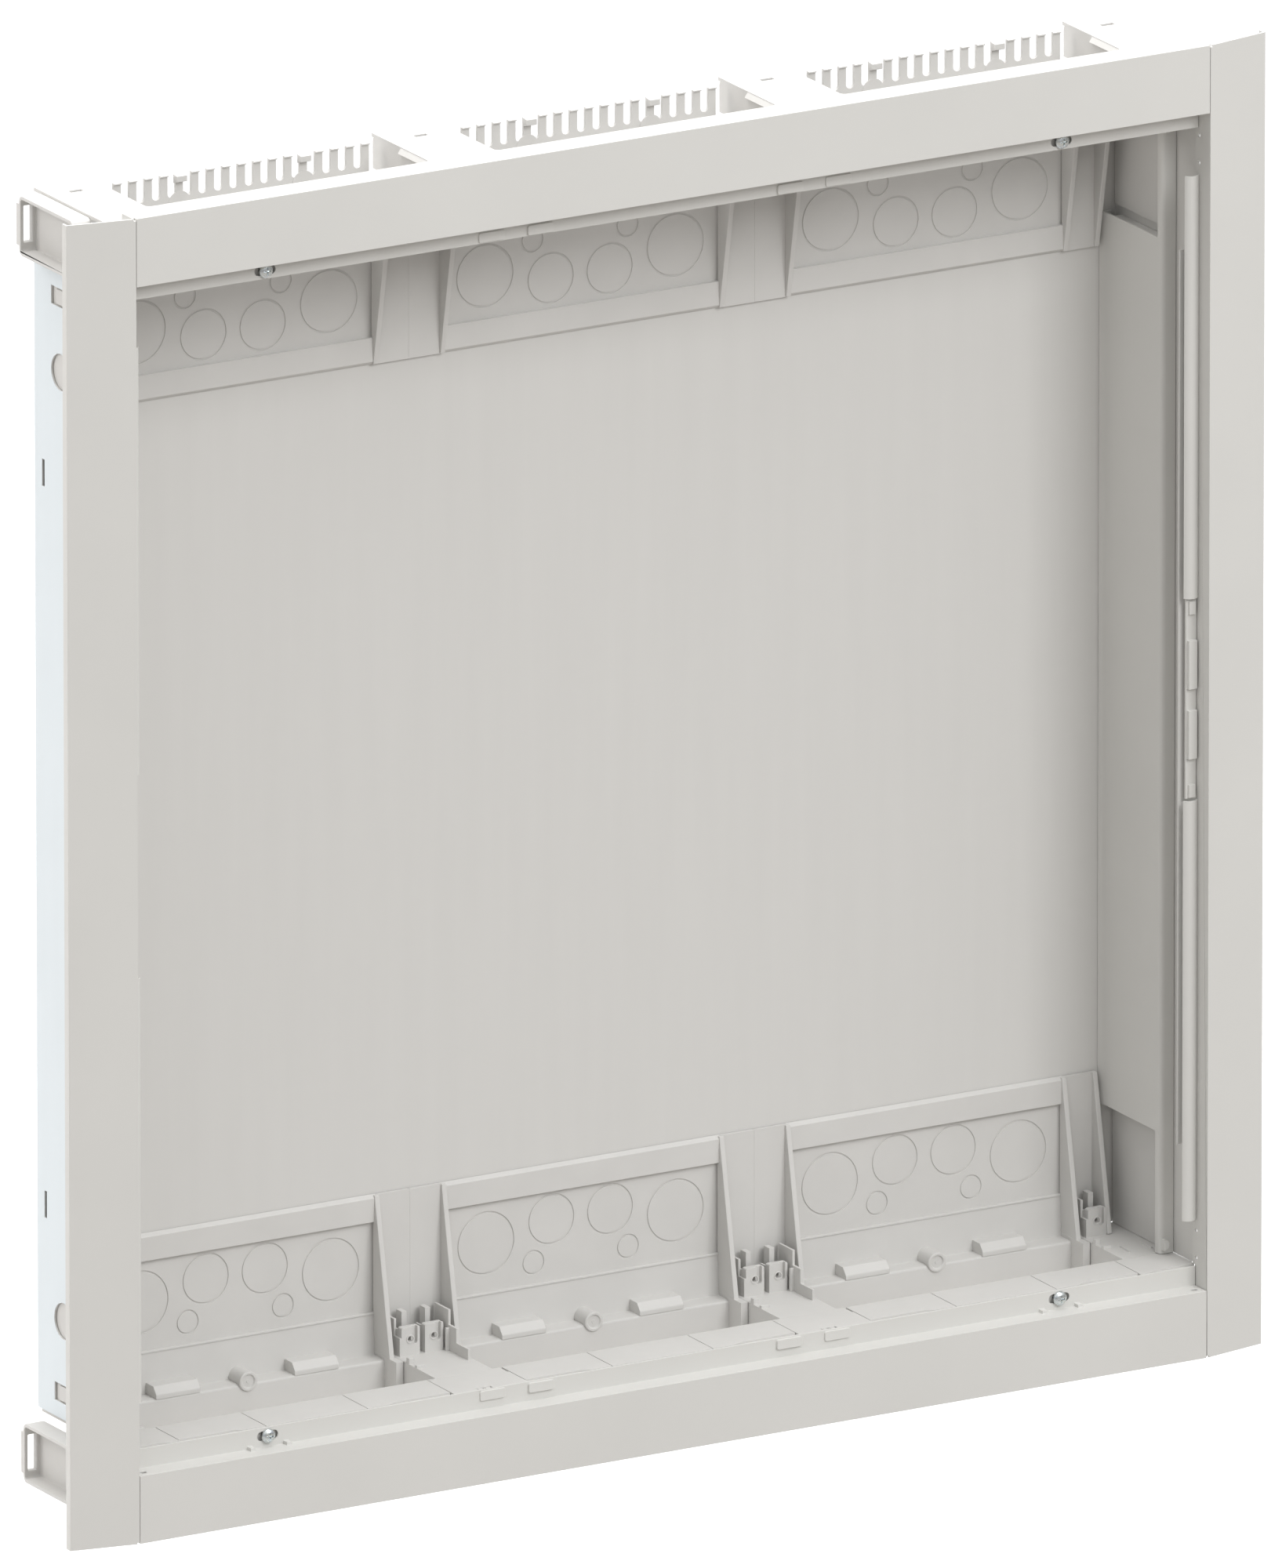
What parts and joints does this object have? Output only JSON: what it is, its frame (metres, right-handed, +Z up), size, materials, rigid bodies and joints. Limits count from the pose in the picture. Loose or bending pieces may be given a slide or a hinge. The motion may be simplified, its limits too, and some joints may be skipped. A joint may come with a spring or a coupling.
{
  "type": "flush mounted distribution board",
  "caption": "Flush wall box for modular electrical devices, with cable ducts and combs at both ends and a screwed, depth-adjustable bezel frame.",
  "frame": {"origin": "centre of the back panel's outer face, which bears on the wall behind the board", "axes": "+X to the right seen from the front, +Y backwards into the wall, +Z up"},
  "size_m": [0.864, 0.123, 0.864],
  "materials": {
    "painted_steel": "fine powder coat, satin",
    "coated_sheet": "smooth coil coat, satin",
    "grey_plastic": "fine moulded texture",
    "zinc_steel": "bright zinc plate"
  },
  "bodies": {
    "box": {"back_panel": "coated_sheet", "left_side_wall": "coated_sheet", "right_side_wall": "coated_sheet", "left_side_profile": "painted_steel", "right_side_profile": "painted_steel", "top_end_plate": "grey_plastic", "bottom_end_plate": "grey_plastic", "top_left_end_module": "grey_plastic", "top_centre_end_module": "grey_plastic", "top_right_end_module": "grey_plastic", "bottom_left_end_module": "grey_plastic", "bottom_centre_end_module": "grey_plastic", "bottom_right_end_module": "grey_plastic", "top_left_front_cover": "grey_plastic", "top_centre_front_cover": "grey_plastic", "top_right_front_cover": "grey_plastic", "bottom_left_front_cover": "grey_plastic", "bottom_centre_front_cover": "grey_plastic", "bottom_right_front_cover": "grey_plastic", "top_left_junction": "grey_plastic", "top_right_junction": "grey_plastic", "bottom_left_junction": "grey_plastic", "bottom_right_junction": "grey_plastic", "top_left_corner_cover": "grey_plastic", "top_right_corner_cover": "grey_plastic", "bottom_left_corner_cover": "grey_plastic", "bottom_right_corner_cover": "grey_plastic", "top_left_corner_pocket": "grey_plastic", "top_right_corner_pocket": "grey_plastic", "bottom_left_corner_pocket": "grey_plastic", "bottom_right_corner_pocket": "grey_plastic", "top_left_wall_liner": "grey_plastic", "top_right_wall_liner": "grey_plastic", "bottom_left_wall_liner": "grey_plastic", "bottom_right_wall_liner": "grey_plastic", "screw_nut_top_left": "zinc_steel", "screw_nut_top_right": "zinc_steel", "screw_nut_bottom_left": "zinc_steel", "screw_nut_bottom_right": "zinc_steel"},
    "frame": {"frame_top_rail": "painted_steel", "frame_bottom_rail": "painted_steel", "frame_left_stile": "painted_steel", "frame_right_stile": "painted_steel", "left_latch_strip": "painted_steel", "right_latch_strip": "painted_steel"},
    "top_left_comb": {"top_left_comb": "grey_plastic"},
    "top_centre_comb": {"top_centre_comb": "grey_plastic"},
    "top_right_comb": {"top_right_comb": "grey_plastic"},
    "bottom_left_comb": {"bottom_left_comb": "grey_plastic"},
    "bottom_centre_comb": {"bottom_centre_comb": "grey_plastic"},
    "bottom_right_comb": {"bottom_right_comb": "grey_plastic"},
    "frame_screw_top_left": {"frame_screw_top_left": "zinc_steel"},
    "frame_screw_top_right": {"frame_screw_top_right": "zinc_steel"},
    "frame_screw_bottom_left": {"frame_screw_bottom_left": "zinc_steel"},
    "frame_screw_bottom_right": {"frame_screw_bottom_right": "zinc_steel"}
  },
  "joints": [
    {"name": "frame_depth_slide", "type": "slide", "parent": "box", "child": "frame", "axis": [0, -1, 0], "range_m": [0, 0.015]},
    {"name": "top_left_comb_slide", "type": "slide", "parent": "box", "child": "top_left_comb", "axis": [0, 0, 1], "range_m": [0, 0.03]},
    {"name": "top_centre_comb_slide", "type": "slide", "parent": "box", "child": "top_centre_comb", "axis": [0, 0, 1], "range_m": [0, 0.03]},
    {"name": "top_right_comb_slide", "type": "slide", "parent": "box", "child": "top_right_comb", "axis": [0, 0, 1], "range_m": [0, 0.03]},
    {"name": "bottom_left_comb_slide", "type": "slide", "parent": "box", "child": "bottom_left_comb", "axis": [0, 0, -1], "range_m": [0, 0.03]},
    {"name": "bottom_centre_comb_slide", "type": "slide", "parent": "box", "child": "bottom_centre_comb", "axis": [0, 0, -1], "range_m": [0, 0.03]},
    {"name": "bottom_right_comb_slide", "type": "slide", "parent": "box", "child": "bottom_right_comb", "axis": [0, 0, -1], "range_m": [0, 0.03]},
    {"name": "frame_screw_top_left_turn", "type": "hinge", "parent": "frame", "child": "frame_screw_top_left", "pos_m": [-0.287, -0.109, 0.3804], "axis": [0, -1, 0], "continuous": true},
    {"name": "frame_screw_top_right_turn", "type": "hinge", "parent": "frame", "child": "frame_screw_top_right", "pos_m": [0.287, -0.109, 0.3804], "axis": [0, -1, 0], "continuous": true},
    {"name": "frame_screw_bottom_left_turn", "type": "hinge", "parent": "frame", "child": "frame_screw_bottom_left", "pos_m": [-0.287, -0.109, -0.3804], "axis": [0, -1, 0], "continuous": true},
    {"name": "frame_screw_bottom_right_turn", "type": "hinge", "parent": "frame", "child": "frame_screw_bottom_right", "pos_m": [0.287, -0.109, -0.3804], "axis": [0, -1, 0], "continuous": true}
  ]
}
